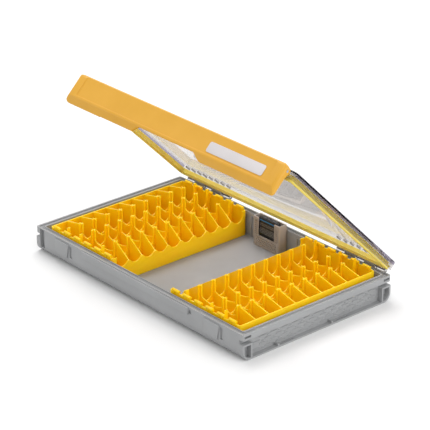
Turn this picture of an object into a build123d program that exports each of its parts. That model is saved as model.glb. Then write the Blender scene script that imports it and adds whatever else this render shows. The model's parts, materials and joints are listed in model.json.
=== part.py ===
"""Full-size jig box: a shallow grey tray with two lift-out hook racks, a clear hinged lid, a full-length
latch bar and a drying-agent holder.  The lid is modelled standing partly open.

Frame: origin at the centre of the tray's underside, +X along the hinge, +Y towards the hinge, +Z up.
All sizes are in millimetres.
"""
from build123d import *
import math
import os

# ---------------------------------------------------------------- driving dimensions
WIDTH = 356.0  # tray and lid, along the hinge
DEPTH = 216.0  # tray and lid, front to back
TRAY_H = 31.0  # table to the top of the rim
LID_H = 11.0  # lid, its lower edge to its outer face
LID_OPEN = 45.0  # degrees that the lid stands open
OUT = DEPTH / 2  # front and back faces
END = WIDTH / 2  # end faces of the rim

# tray
FLOOR_T = 2.0
BASE_R = 11.0  # rolled lower edge, front and back
PANEL_X = 172.0  # outer face of the end panels, set in from the rim
INNER_X = 169.8
INNER_Y = 101.0
CORNER_R = 2.5
FLANGE_H = 7.2  # depth of the rim's outer edge
BEAD_W = 2.0  # outer bead of the rim
BEAD_2 = 6.0  # inner bead starts this far in
LEDGE_D = 1.2  # sealing land between the beads
LAND_RIDGES = (2.9, 4.5)  # fine ridges on the land, set in from the outer face
RIDGE_W, RIDGE_H = 0.6, 0.4
FOOT_T = 1.8  # lower flange of the ends
NOTCH_X = (-171.0, -163.0)  # recess in the front wall beside its left corner
NOTCH_D = 4.5
NOTCH_Z = (7.0, 30.0)
LOOP_L = 13.0  # corner loops, along Y
LOOP_H = 19.0
LOOP_T = 2.0
SLOT_H = 2.6  # strap slots in the rim's corners
SLOT_D = 4.0
CORE_W = 2.6  # coring slots that keep the front and back walls thin
CORE_L = 38.0
CORE_PITCH = 41.0
CORE_COUNT = 8
CORE_ROOF = 4.0  # solid left above them
RIB_T = 1.2  # guide ribs on the inner walls
RIB_GAP = 4.6
RIB_TOP = 27.0
RIB_X = 38.5  # rib pairs on the front and back walls
RIB_Y = (-54.0, 0.0, 54.0)  # rib pairs on the end walls
RIB_LONG, RIB_SHORT = 7.0, 3.6  # how deep they are, partly inside the wall
RIB_SINK = 1.5
PAD_W, PAD_H, PAD_T = 25.0, 17.0, 1.6  # latch pads on the front wall
PAD_X = 129.0
PAD_Z = 20.0
PAD_SLANT = 3.5  # how far the pad's right side leans in at the bottom
POCKET_W, POCKET_D = 4.2, 1.4  # pockets to the right of the pads and the rail
POCKET_GAP = 0.5
POCKET_LESS = 3.0  # how much lower they are than what they stand beside
RAIL_L, RAIL_H, RAIL_T = 182.0, 7.6, 2.0  # catch rail on the front wall
RAIL_Z = 26.2
RAIL_POCKET_W = 3.6
DASH_L, DASH_H, DASH_T = 8.5, 1.0, 0.6  # raised texture on the end panels
DASH_PITCH = 16.0
DASH_COUNT = 11
DASH_ROWS = (5.6, 9.8, 14.0, 18.2)
DOT_L, DOT_DROP = 1.4, 1.4  # small dot after each dash, just below it
GUSSET_Y, SLIT_Y = (-58.0, 20.0), (-43.0, 36.0)  # gussets and slits of the lower flange
GUSSET = (6.0, 2.2, 3.0)
SLIT = (1.6, 19.0)
FLANGE_MID = 175.0

# hinge
HINGE_GAP = 4.0  # axis behind the back faces
HINGE_Y = OUT + HINGE_GAP
HINGE_Z = TRAY_H + 0.4
KNUCKLE_R = 3.4
KNUCKLE_ROOT = 0.6  # how far its web reaches into the wall
PIN_R = 1.2
BORE_R = 1.25
LID_KNUCKLE_W = 12.6
LID_KNUCKLE_X = (97.75, 128.5, 159.25)
TRAY_KNUCKLE_W = 17.3
TRAY_KNUCKLE_X = (113.125, 143.875)
PIN_SPAN = (90.8, 166.2)

# lid, in its own plane: X, distance from the hinge axis, height above its lower edge
LID_WALL = 2.0
LID_TOP = 2.0
LID_NEAR = HINGE_GAP  # back face to the axis
LID_FAR = HINGE_GAP + DEPTH  # front face to the axis
LID_GAP = 1.2  # lower edge over the hinge plane
LID_R = 6.0
SEAL_IN = 2.6  # seal channel, in from the outer face
SEAL_W = 3.2
SEAL_TOP = 4.2
SEAL_BOTTOM = -0.9
SKIRT_IN = 6.1  # inner skirt of the seal channel
SKIRT_OUT = 7.2
SHELF_TOP = 6.0
HINGE_RIB_H = 2.0  # short ribs inside the lid above the knuckles
HINGE_RIB_PITCH = 10.5
HINGE_RIB_X = 93.0
HINGE_RIB_COUNT = 8
HINGE_RIB_L = 9.0
EDGE_R = 1.4  # rounding round the lid's top

# latch bar, in the lid's plane
BAR_HALF = 172.0
BAR_WALL = 2.2
BAR_END_T = 3.0
BAR_END_R = 8.0  # upper corners, seen from the front
BAR_FOOT_R = 4.0  # lower corners
BAR_PLAN_R = 5.0  # and seen from above
BAR_BACK = 221.6
BAR_FRONT = 231.5
BAR_TOP = 13.0
BAR_CROWN = 3.4  # fall of the top towards the lid, so that it turns clear of the lid
BAR_CROWN_A = 226.0
BAR_LIP = 224.2  # rear face of the lower lip
BAR_LIP_T = 2.2
BAR_BEVEL_N = -15.5
BAR_BOTTOM = -23.6
BAR_NECK_N = -1.0  # the ends narrow from here down
BAR_SHOULDER_N = 5.6
BAR_TOP_R = 4.5
BAR_BEVEL_R = 4.0
BAR_PANEL_X = 158.0  # half-length of the sunk front panel
BAR_PANEL = (-13.5, 11.6)  # it runs out into the rounded top
BAR_PANEL_D = 0.8
BAR_PANEL_TAPER = 35
BAR_PANEL_R = 2.0
PIVOT_A, PIVOT_N = 226.0, 6.2
PIVOT_R = 1.5
PIVOT_BORE_R = 1.55
LUG_R = 2.6
LUG_X, LUG_W = 161.0, 9.0
LUG_ROOT = 1.0  # how far it reaches into the lid's front wall
LUG_CLEAR = 1.0
LUG_SLOT = 1.5  # how far the bar's slots reach past the axis
PULL_HALF = 46.0  # finger notch in the lower lip, at its top
PULL_FOOT = 56.0  # and where its sides meet the lower edge
PULL_N = -16.6
PULL_FALL = 0.5  # how much it shortens the lip on both sides
PULL_R = 6.5
HOOK_HALF = 84.0
HOOK_N = -10.2
HOOK_T = 2.0
HOOK_A = 221.0
LABEL_X, LABEL_W, LABEL_H, LABEL_T = 105.0, 87.0, 12.4, 0.5
LABEL_N = -4.6
LABEL_R = 2.4

# hook racks
RACK_EDGE = 162.5  # outer face of the tall side wall
RACK_W = 114.0
RACK_L = 198.0
RACK_T = 1.4
RACK_R = 3.0
RACK_WALL_Z = 33.0
RACK_POST_Z = 39.6
RACK_LOW_Z = 24.5  # tips of the scalloped wall
SCALLOP_R = 8.5
SCALLOP_Z = 28.5
TIP_R = 1.4  # rounding of the tips between the scallops
ROWS = (27.5, 50.2, 90.0)  # post rows, from the tall wall's outer face
BAYS = 10
BAY = 19.04
U_WIDTH = 13.0
U_BOTTOM = 18.3
ROW_END = 3.0  # the rows are as low as the end walls over this length
STUB = 3.0  # half-width of a post, along X
POST_DROP = 1.5  # fall of the fins just outside the outer posts
SAG_TOP = 27.0
SAG_LOW = 23.3
SHORT_SAG_LOW = 24.3
KNOB_START = 12.0
KNOB_PITCH = 18.4
KNOB_L = 11.0
KNOB_R = 1.7
KNOBS = 6
KNOB_NECK = 1.0  # the neck under a knob is this much shorter at both ends
KNOB_LEAN = 0.4  # its middle stands inside the wall's middle
KNOB_RIB = (1.2, 1.4, 6.5)
KNOB_RIB_X = 2.4
KNOB_RIB_DROP = 6.0

# drying-agent holder and its packet
HOLD_W = 44.0
HOLD_D = 11.6
HOLD_TOP = 38.0
HOLD_T = 1.6
HOLD_X = -3.0
HOLD_BACK = 100.0  # its back face
HOLD_PAD_X, HOLD_PAD_W, HOLD_PAD_H = 17.0, 4.0, 24.0  # pads that bear on the tray's back wall
HOLD_R = 1.5
WINDOW_W = 27.0
WINDOW_Z = 15.8
HOLE_R = 0.8
HOLE_PITCH = 2.7
HOLE_SIDE = 2.2  # first column beside the window
PACK_W, PACK_D, PACK_H = 35.0, 7.0, 35.4
PACK_LABEL_T = 0.3
PACK_R = 1.6
PACK_LIFT = 0.2  # clearance under it
PACK_LABEL_IN = 1.0  # how far it stays inside the window's sides and foot
PACK_LABEL_DROP = 3.0  # and below the packet's top
SIDE_HOLES = 7
LOW_HOLES = (4, 13)  # rows of vent holes below the window, and holes in the longer rows
LOW_HOLE_Z = 5.4

os.makedirs("parts", exist_ok=True)

UPWARDS = (Align.CENTER, Align.CENTER, Align.MIN)

LID = Plane(
    origin=(0, HINGE_Y, HINGE_Z),
    x_dir=(1, 0, 0),
    z_dir=(0, math.sin(math.radians(LID_OPEN)), math.cos(math.radians(LID_OPEN))),
)


def lid_side(x: float) -> Plane:
    """Plane across the lid at x, with local x as distance in front of the axis and local y as height."""
    return Plane(origin=LID.from_local_coords((x, 0, 0)), x_dir=-LID.y_dir, z_dir=-LID.x_dir)


def both(values) -> list:
    """Each value and its opposite."""
    return [side * value for value in values for side in (1, -1)]


def save(builder: BuildPart, name: str) -> None:
    """Label a finished piece and write it."""
    builder.part.label = name
    export_step(builder.part, f"parts/{name}.step")


# ---------------------------------------------------------------- tray
with BuildPart() as tray:
    # body between the end panels, with rolled lower edges
    with BuildSketch(Plane.YZ) as body_profile:
        with Locations((0, TRAY_H / 2)):
            Rectangle(DEPTH, TRAY_H)
        fillet(body_profile.vertices().group_by(Axis.Y)[0], BASE_R)
    extrude(amount=PANEL_X, both=True)
    with BuildSketch(Plane.XY.offset(TRAY_H - FLANGE_H)):
        RectangleRounded(WIDTH, DEPTH, CORNER_R)
    extrude(amount=FLANGE_H)
    with BuildSketch(Plane.XY):
        Rectangle(WIDTH, DEPTH - 2 * LOOP_L)
    extrude(amount=FOOT_T)

    # loops at the four corners, open outwards
    for wall, mode in ((0.0, Mode.ADD), (LOOP_T, Mode.SUBTRACT)):
        for end in (1, -1):
            with BuildSketch(Plane.YZ.offset(end * PANEL_X)):
                for side in (1, -1):
                    with BuildSketch(mode=Mode.ADD) as loop:
                        with Locations((side * (OUT - LOOP_L / 2), LOOP_H / 2)):
                            Rectangle(LOOP_L - 2 * wall, LOOP_H - 2 * wall)
                        outer = loop.vertices().group_by(Axis.Y)[0].sort_by(Axis.X)[-1 if side > 0 else 0]
                        fillet(outer, BASE_R - wall - 1.0)
            extrude(amount=end * (END - PANEL_X), mode=mode)

    # strap slots in the ends of the rim
    with Locations(*[(x, y, TRAY_H - FLANGE_H / 2) for x in both([END]) for y in both([OUT - LOOP_L / 2])]):
        Box(2 * SLOT_D, LOOP_L - 2 * LOOP_T, SLOT_H, mode=Mode.SUBTRACT)

    # cavity, and the groove between the rim's beads
    with BuildSketch(Plane.XY.offset(FLOOR_T)):
        RectangleRounded(2 * INNER_X, 2 * INNER_Y, CORNER_R)
    extrude(amount=TRAY_H, mode=Mode.SUBTRACT)
    with BuildSketch(Plane.XY.offset(TRAY_H)):
        RectangleRounded(WIDTH - 2 * BEAD_W, DEPTH - 2 * BEAD_W, CORNER_R)
        RectangleRounded(WIDTH - 2 * BEAD_2, DEPTH - 2 * BEAD_2, CORNER_R, mode=Mode.SUBTRACT)
    extrude(amount=-LEDGE_D, mode=Mode.SUBTRACT)
    with BuildSketch(Plane.XY.offset(TRAY_H - LEDGE_D)):
        for inset in LAND_RIDGES:
            with BuildSketch(mode=Mode.ADD):
                RectangleRounded(WIDTH - 2 * inset, DEPTH - 2 * inset, CORNER_R)
                hole = inset + RIDGE_W
                RectangleRounded(WIDTH - 2 * hole, DEPTH - 2 * hole, CORNER_R, mode=Mode.SUBTRACT)
    extrude(amount=RIDGE_H)

    # coring slots in the front and back walls, open below
    with GridLocations(CORE_PITCH, OUT + INNER_Y, CORE_COUNT, 2):
        Box(CORE_L, CORE_W, TRAY_H - CORE_ROOF, align=UPWARDS, mode=Mode.SUBTRACT)

    # recess beside the front left corner
    with BuildSketch(Plane.XZ.offset(OUT)):
        with Locations((sum(NOTCH_X) / 2, sum(NOTCH_Z) / 2)):
            Rectangle(NOTCH_X[1] - NOTCH_X[0], NOTCH_Z[1] - NOTCH_Z[0])
    extrude(amount=-NOTCH_D, mode=Mode.SUBTRACT)

    # guide ribs on the inner walls
    rib_x = [x + gap for x in both([RIB_X]) for gap in both([RIB_GAP / 2])]
    rib_y = [y + gap for y in RIB_Y for gap in both([RIB_GAP / 2])]
    for spots, size in (
        ([(x, y) for x in rib_x for y in both([INNER_Y])], (RIB_T, RIB_SHORT)),
        ([(x, y) for x in both([INNER_X - RIB_LONG / 2 + RIB_SINK]) for y in rib_y], (RIB_LONG, RIB_T)),
    ):
        with Locations(*[(x, y, FLOOR_T) for x, y in spots]):
            Box(*size, RIB_TOP - FLOOR_T, align=UPWARDS)

    # latch pads, each with a sloping side and a pocket beside it, and the catch rail
    with BuildSketch(Plane.XZ.offset(OUT)):
        for x in both([PAD_X]):
            left, right = x - PAD_W / 2, x + PAD_W / 2
            low, high = PAD_Z - PAD_H / 2, PAD_Z + PAD_H / 2
            with BuildLine():
                Polyline((left, low), (left, high), (right, high), (right - PAD_SLANT, low), close=True)
            make_face()
    extrude(amount=PAD_T)
    with BuildSketch(Plane.XZ.offset(OUT)):
        with Locations((0, RAIL_Z)):
            Rectangle(RAIL_L, RAIL_H)
    extrude(amount=RAIL_T)
    with BuildSketch(Plane.XZ.offset(OUT)):
        with Locations(*[(x + (PAD_W + POCKET_W) / 2 + POCKET_GAP, PAD_Z) for x in both([PAD_X])]):
            Rectangle(POCKET_W, PAD_H - POCKET_LESS)
        with Locations(((RAIL_L + RAIL_POCKET_W) / 2 + POCKET_GAP, RAIL_Z)):
            Rectangle(RAIL_POCKET_W, RAIL_H - POCKET_LESS)
    extrude(amount=-POCKET_D, mode=Mode.SUBTRACT)

    # raised dashes and dots on the end panels, staggered from row to row
    for end in (1, -1):
        with BuildSketch(Plane.YZ.offset(end * PANEL_X)):
            for row, z in enumerate(DASH_ROWS):
                shift = DASH_PITCH / 2 * (row % 2) - DASH_PITCH / 4
                starts = [shift + DASH_PITCH * (i - DASH_COUNT // 2) for i in range(DASH_COUNT)]
                with Locations(*[(y, z) for y in starts]):
                    Rectangle(DASH_L, DASH_H)
                with Locations(*[(y + DASH_PITCH / 2, z - DOT_DROP) for y in starts]):
                    Rectangle(DOT_L, DASH_H)
        extrude(amount=end * DASH_T)

    # small gussets and slits on the lower flange of each end
    with Locations(*[(x, y, FOOT_T) for x in both([FLANGE_MID]) for y in GUSSET_Y]):
        Box(*GUSSET, align=UPWARDS)
    with Locations(*[(x, y, 0) for x in both([FLANGE_MID]) for y in SLIT_Y]):
        Box(*SLIT, 4 * FOOT_T, mode=Mode.SUBTRACT)

    # hinge knuckles behind the back wall
    with BuildSketch(*[Plane.YZ.offset(x - TRAY_KNUCKLE_W / 2) for x in both(TRAY_KNUCKLE_X)]):
        with Locations((HINGE_Y, HINGE_Z)):
            Circle(KNUCKLE_R)
        with BuildLine():
            root, top = OUT - KNUCKLE_ROOT, TRAY_H - KNUCKLE_ROOT
            Polyline(
                (root, top),
                (HINGE_Y, top),
                (HINGE_Y + KNUCKLE_R * 0.6, HINGE_Z - KNUCKLE_R * 0.8),
                (root, TRAY_H - FLANGE_H),
                close=True,
            )
        make_face()
        with Locations((HINGE_Y, HINGE_Z)):
            Circle(BORE_R, mode=Mode.SUBTRACT)
    extrude(amount=TRAY_KNUCKLE_W)
save(tray, "tray")

# ---------------------------------------------------------------- lid
LID_MID = (0, -(LID_NEAR + LID_FAR) / 2)


def lid_ring(inset: float, radius: float) -> None:
    """Rounded rectangle, set in from the lid's outer faces, in the lid's plane."""
    with Locations(LID_MID):
        RectangleRounded(WIDTH - 2 * inset, DEPTH - 2 * inset, radius)


with BuildPart() as lid:
    with BuildSketch(LID.offset(LID_GAP)):
        lid_ring(0, LID_R)
    extrude(amount=LID_H - LID_GAP)
    fillet(lid.faces().sort_by(Axis(LID.origin, LID.z_dir))[-1].edges(), EDGE_R)
    # hollow under the top, then the narrower mouth inside the seal channel
    with BuildSketch(LID.offset(SHELF_TOP)):
        lid_ring(LID_WALL, LID_R - LID_WALL)
    extrude(amount=LID_H - LID_TOP - SHELF_TOP, mode=Mode.SUBTRACT)
    with BuildSketch(LID.offset(0)):
        lid_ring(SKIRT_OUT, CORNER_R)
    extrude(amount=SHELF_TOP + 1, mode=Mode.SUBTRACT)
    with BuildSketch(LID.offset(0)):
        lid_ring(LID_WALL, LID_R - LID_WALL)
        with Locations(LID_MID):
            RectangleRounded(WIDTH - 2 * SKIRT_IN, DEPTH - 2 * SKIRT_IN, CORNER_R, mode=Mode.SUBTRACT)
    extrude(amount=SEAL_TOP + 0.1, mode=Mode.SUBTRACT)

    # hinge knuckles, with a short web up to the back wall
    with BuildSketch(*[lid_side(x + LID_KNUCKLE_W / 2) for x in both(LID_KNUCKLE_X)]):
        Circle(KNUCKLE_R)
        with Locations((LID_NEAR / 2, LID_GAP + KNUCKLE_R / 2)):
            Rectangle(LID_NEAR + KNUCKLE_ROOT, KNUCKLE_R)
        Circle(BORE_R, mode=Mode.SUBTRACT)
    extrude(amount=LID_KNUCKLE_W)

    # short stiffening ribs inside, above each group of knuckles
    rib_spots = both([HINGE_RIB_X + HINGE_RIB_PITCH * i for i in range(HINGE_RIB_COUNT)])
    with BuildSketch(LID.offset(LID_H - LID_TOP)):
        with Locations(*[(x, -(LID_NEAR + LID_WALL + HINGE_RIB_L / 2)) for x in rib_spots]):
            Rectangle(1.0, HINGE_RIB_L)
    extrude(amount=-HINGE_RIB_H)

    # lugs that carry the latch pins
    with BuildSketch(*[lid_side(x + LUG_W / 2) for x in both([LUG_X])]):
        with Locations((PIVOT_A, PIVOT_N)):
            Circle(LUG_R)
        with Locations(((LID_FAR - LUG_ROOT + PIVOT_A) / 2, PIVOT_N)):
            Rectangle(PIVOT_A - LID_FAR + LUG_ROOT, 2 * LUG_R)
        with Locations((PIVOT_A, PIVOT_N)):
            Circle(PIVOT_BORE_R, mode=Mode.SUBTRACT)
    extrude(amount=LUG_W)
save(lid, "lid")

with BuildPart() as lid_seal:
    with BuildSketch(LID.offset(SEAL_BOTTOM)):
        lid_ring(SEAL_IN, LID_R - SEAL_IN)
        with Locations(LID_MID):
            inner = SEAL_IN + SEAL_W
            RectangleRounded(WIDTH - 2 * inner, DEPTH - 2 * inner, CORNER_R, mode=Mode.SUBTRACT)
    extrude(amount=SEAL_TOP - SEAL_BOTTOM)
    fillet(lid_seal.faces().sort_by(Axis(LID.origin, LID.z_dir))[0].edges(), 0.8)
save(lid_seal, "lid_seal")

# ---------------------------------------------------------------- latch bar
# section of the ends, as distance in front of the axis and height
BAR_OUTLINE = (
    (BAR_BACK, BAR_TOP - BAR_CROWN),
    (BAR_CROWN_A, BAR_TOP),
    (BAR_FRONT, BAR_TOP),
    (BAR_FRONT, BAR_BEVEL_N),
    (BAR_LIP + BAR_LIP_T, BAR_BOTTOM),
    (BAR_LIP, BAR_BOTTOM),
    (BAR_LIP, BAR_NECK_N),
    (BAR_BACK, BAR_SHOULDER_N),
)
# section of the hollow between the ends, open at the back
BAR_HOLLOW = (
    (BAR_BACK - BAR_WALL, BAR_TOP - BAR_CROWN - BAR_WALL),
    (BAR_CROWN_A, BAR_TOP - BAR_WALL),
    (BAR_FRONT - BAR_WALL, BAR_TOP - BAR_WALL),
    (BAR_FRONT - BAR_WALL, BAR_BEVEL_N + BAR_WALL / 2),
    (BAR_LIP + BAR_LIP_T / 2, BAR_BOTTOM + BAR_WALL),
    (BAR_BACK - BAR_WALL, BAR_BOTTOM + BAR_WALL),
)

panel_plane = Plane(origin=LID.from_local_coords((0, -BAR_FRONT, 0)), x_dir=(1, 0, 0), z_dir=-LID.y_dir)
BAR_DEPTH = BAR_FRONT - BAR_BACK

with BuildPart() as latch_bar:
    with BuildSketch(lid_side(BAR_HALF)) as bar_profile:
        with BuildLine():
            Polyline(*BAR_OUTLINE, close=True)
        make_face()
        fillet(bar_profile.vertices().group_by(Axis.X)[-1].sort_by(Axis.Y)[-1], BAR_TOP_R)
        fillet(bar_profile.vertices().group_by(Axis.X)[-1].sort_by(Axis.Y)[0], BAR_BEVEL_R)
    extrude(amount=2 * BAR_HALF)
    # rounded ends, seen from the front and from above
    with BuildSketch(panel_plane) as bar_face:
        with Locations((0, (BAR_TOP + BAR_BOTTOM) / 2)):
            Rectangle(2 * BAR_HALF, BAR_TOP - BAR_BOTTOM)
        fillet(bar_face.vertices().group_by(Axis.Y)[-1], BAR_END_R)
        fillet(bar_face.vertices().group_by(Axis.Y)[0], BAR_FOOT_R)
    extrude(amount=-BAR_DEPTH - 1, mode=Mode.INTERSECT)
    with BuildSketch(LID.offset(BAR_BOTTOM - 1)):
        with Locations((0, -BAR_FRONT + BAR_PLAN_R + BAR_DEPTH)):
            RectangleRounded(2 * BAR_HALF, 2 * (BAR_PLAN_R + BAR_DEPTH), BAR_PLAN_R)
    extrude(amount=BAR_TOP - BAR_BOTTOM + 2, mode=Mode.INTERSECT)

    with BuildSketch(lid_side(BAR_HALF - BAR_END_T)):
        with BuildLine():
            Polyline(*BAR_HOLLOW, close=True)
        make_face()
    extrude(amount=2 * (BAR_HALF - BAR_END_T), mode=Mode.SUBTRACT)
    # finger notch: the lower lip and its bevel run out on both sides in a smooth curve
    with BuildSketch(panel_plane) as pull:
        with BuildLine():
            foot = BAR_BOTTOM + PULL_FALL
            Polyline(
                (-PULL_HALF, PULL_N),
                (PULL_HALF, PULL_N),
                (PULL_FOOT, foot),
                (2 * PULL_FOOT, foot),
                (2 * PULL_FOOT, foot - PULL_R),
                (-2 * PULL_FOOT, foot - PULL_R),
                (-2 * PULL_FOOT, foot),
                (-PULL_FOOT, foot),
                close=True,
            )
        make_face()
        fillet(pull.vertices().group_by(Axis.Y)[-1], PULL_R)
        fillet(pull.vertices().group_by(Axis.Y)[1].sort_by(Axis.X)[1:3], PULL_R)
    extrude(amount=-BAR_DEPTH - 2, mode=Mode.SUBTRACT)
    # slots in the top, so that the bar turns past the lid's lugs
    with BuildSketch(LID.offset(PIVOT_N)):
        with Locations(*[(x, -(BAR_BACK + PIVOT_A) / 2) for x in both([LUG_X])]):
            Rectangle(LUG_W + 2 * LUG_CLEAR, PIVOT_A - BAR_BACK + 2 * LUG_SLOT)
    extrude(amount=BAR_TOP - PIVOT_N + LUG_CLEAR, mode=Mode.SUBTRACT)
    # hook rib that snaps under the tray's catch rail
    with BuildSketch(lid_side(HOOK_HALF)):
        with Locations(((HOOK_A + BAR_FRONT - BAR_WALL / 2) / 2, HOOK_N - HOOK_T / 2)):
            Rectangle(BAR_FRONT - BAR_WALL / 2 - HOOK_A, HOOK_T)
    extrude(amount=2 * HOOK_HALF)
    # sunk front panel
    with BuildSketch(panel_plane):
        with Locations((0, (BAR_PANEL[0] + BAR_PANEL[1]) / 2)):
            RectangleRounded(2 * BAR_PANEL_X, BAR_PANEL[1] - BAR_PANEL[0], BAR_PANEL_R)
    extrude(amount=-BAR_PANEL_D, taper=BAR_PANEL_TAPER, mode=Mode.SUBTRACT)
    # pivot bores in the end walls
    with BuildSketch(lid_side(BAR_HALF + 1)):
        with Locations((PIVOT_A, PIVOT_N)):
            Circle(PIVOT_BORE_R)
    extrude(amount=2 * BAR_HALF + 2, mode=Mode.SUBTRACT)
save(latch_bar, "latch_bar")

with BuildPart() as latch_label:
    with BuildSketch(panel_plane.offset(-BAR_PANEL_D)):
        with Locations((LABEL_X, LABEL_N)):
            RectangleRounded(LABEL_W, LABEL_H, LABEL_R)
    extrude(amount=LABEL_T)
save(latch_label, "latch_label")

PIVOT_IN = LUG_X - LUG_W / 2
for side, name in ((1, "latch_pin_right"), (-1, "latch_pin_left")):
    with BuildPart() as latch_pin:
        with BuildSketch(lid_side(max(side * PIVOT_IN, side * BAR_HALF))):
            with Locations((PIVOT_A, PIVOT_N)):
                Circle(PIVOT_R)
        extrude(amount=BAR_HALF - PIVOT_IN)
    save(latch_pin, name)

# ---------------------------------------------------------------- hinge pins
for side, name in ((1, "hinge_pin_right"), (-1, "hinge_pin_left")):
    with BuildPart() as hinge_pin:
        start = min(side * PIN_SPAN[0], side * PIN_SPAN[1])
        with BuildSketch(Plane.YZ.offset(start)):
            with Locations((HINGE_Y, HINGE_Z)):
                Circle(PIN_R)
        extrude(amount=PIN_SPAN[1] - PIN_SPAN[0])
        chamfer(hinge_pin.edges().filter_by(GeomType.CIRCLE), 0.3)
    save(hinge_pin, name)

# ---------------------------------------------------------------- hook racks
RACK_X = -RACK_EDGE + RACK_W / 2
LOW_X = -RACK_EDGE + RACK_W - RACK_T / 2
ROW_X = [-RACK_EDGE + row for row in ROWS]
DIVIDER_Y = [BAY * (i - (BAYS - 2) / 2) for i in range(BAYS - 1)]
BAY_Y = [BAY * (i - (BAYS - 1) / 2) for i in range(BAYS)]
RACK_FLOOR_Z = FLOOR_T + RACK_T
TALL_IN = -RACK_EDGE + RACK_T / 2
KNOB_X = [-RACK_EDGE + KNOB_START + KNOB_PITCH * i for i in range(KNOBS)]
RACK_END_Y = RACK_L / 2 - RACK_T / 2

with BuildPart() as jig_rack_left:
    # shell: floor, tall side wall and two end walls
    with BuildSketch(Plane.XY.offset(FLOOR_T)):
        with Locations((RACK_X, 0)):
            RectangleRounded(RACK_W, RACK_L, RACK_R)
    extrude(amount=RACK_WALL_Z - FLOOR_T)
    with BuildSketch(Plane.XY.offset(RACK_FLOOR_Z)):
        with Locations((RACK_X, 0)):
            RectangleRounded(RACK_W - 2 * RACK_T, RACK_L - 2 * RACK_T, RACK_R - RACK_T)
    extrude(amount=RACK_WALL_Z, mode=Mode.SUBTRACT)
    # the other side wall is low and scalloped, with rounded tips
    with BuildSketch(Plane.YZ.offset(LOW_X)) as waves:
        with Locations((0, RACK_LOW_Z)):
            Rectangle(RACK_L - 4 * RACK_R, TRAY_H, align=(Align.CENTER, Align.MIN))
        with Locations(*[(y, SCALLOP_Z) for y in BAY_Y]):
            Circle(SCALLOP_R)
        fillet(waves.vertices().group_by(Axis.Y)[0], TIP_R)
    extrude(amount=RACK_T, both=True, mode=Mode.SUBTRACT)

    # dividers: a fin down to each side wall, a low sagging web between the post rows
    with BuildSketch(*[Plane.XZ.offset(-y) for y in DIVIDER_Y]):
        with BuildLine():
            row_a, row_b, row_c = ROW_X
            Polyline(
                (row_a + STUB, SAG_TOP),
                (row_a + STUB, RACK_POST_Z),
                (row_a - STUB, RACK_POST_Z),
                (row_a - STUB, RACK_POST_Z - POST_DROP),
                (TALL_IN, RACK_WALL_Z),
                (TALL_IN, FLOOR_T + RACK_T / 2),
                (LOW_X, FLOOR_T + RACK_T / 2),
                (LOW_X, RACK_LOW_Z),
                (row_c + STUB, RACK_POST_Z - POST_DROP),
                (row_c + STUB - POST_DROP, RACK_POST_Z),
                (row_c - STUB, RACK_POST_Z),
                (row_c - STUB, SAG_TOP),
            )
            ThreePointArc((row_c - STUB, SAG_TOP), ((row_b + row_c) / 2, SAG_LOW), (row_b + STUB, SAG_TOP))
            Polyline(
                (row_b + STUB, SAG_TOP),
                (row_b + STUB, RACK_POST_Z),
                (row_b - STUB, RACK_POST_Z),
                (row_b - STUB, SAG_TOP),
            )
            ThreePointArc((row_b - STUB, SAG_TOP), ((row_a + row_b) / 2, SHORT_SAG_LOW), (row_a + STUB, SAG_TOP))
        make_face()
    extrude(amount=RACK_T / 2, both=True)

    # post rows: a wall with a deep U cut in every bay
    with BuildSketch(*[Plane.YZ.offset(x) for x in ROW_X]):
        with Locations((0, (RACK_POST_Z + FLOOR_T + RACK_T / 2) / 2)):
            Rectangle(RACK_L - RACK_T, RACK_POST_Z - FLOOR_T - RACK_T / 2)
        with Locations(*[(y, U_BOTTOM + TRAY_H / 2) for y in BAY_Y]):
            SlotOverall(TRAY_H, U_WIDTH, rotation=90, mode=Mode.SUBTRACT)
        with Locations(*[(y, RACK_POST_Z) for y in both([RACK_L / 2])]):
            Rectangle(2 * ROW_END, 2 * (RACK_POST_Z - RACK_WALL_Z), mode=Mode.SUBTRACT)
    extrude(amount=RACK_T / 2, both=True)

    # round-topped knobs along both end walls, each with two ribs below
    with Locations(*[(x, y, RACK_WALL_Z) for x in KNOB_X for y in both([RACK_END_Y])]):
        Box(KNOB_L - 2 * KNOB_NECK, RACK_T, KNOB_R, align=UPWARDS)
    with Locations(*[(x, y, RACK_WALL_Z + KNOB_R) for x in KNOB_X for y in both([RACK_END_Y - KNOB_LEAN])]):
        Cylinder(KNOB_R, KNOB_L, rotation=(0, 90, 0))
    knob_rib_x = [x + gap for x in KNOB_X for gap in both([KNOB_RIB_X])]
    with Locations(*[(x, y, RACK_WALL_Z - KNOB_RIB_DROP) for x in knob_rib_x for y in both([RACK_L / 2])]):
        Box(*KNOB_RIB, align=UPWARDS)
save(jig_rack_left, "jig_rack_left")

# the right rack is the same moulding turned round
with BuildPart() as jig_rack_right:
    add(jig_rack_left.part, rotation=(0, 0, 180))
save(jig_rack_right, "jig_rack_right")

# ---------------------------------------------------------------- drying-agent holder
HOLD_Y = HOLD_BACK - HOLD_D / 2


def holder_x(values) -> list:
    """Both signs of each value, about the holder's middle."""
    return [HOLD_X + value for value in both(values)]


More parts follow.
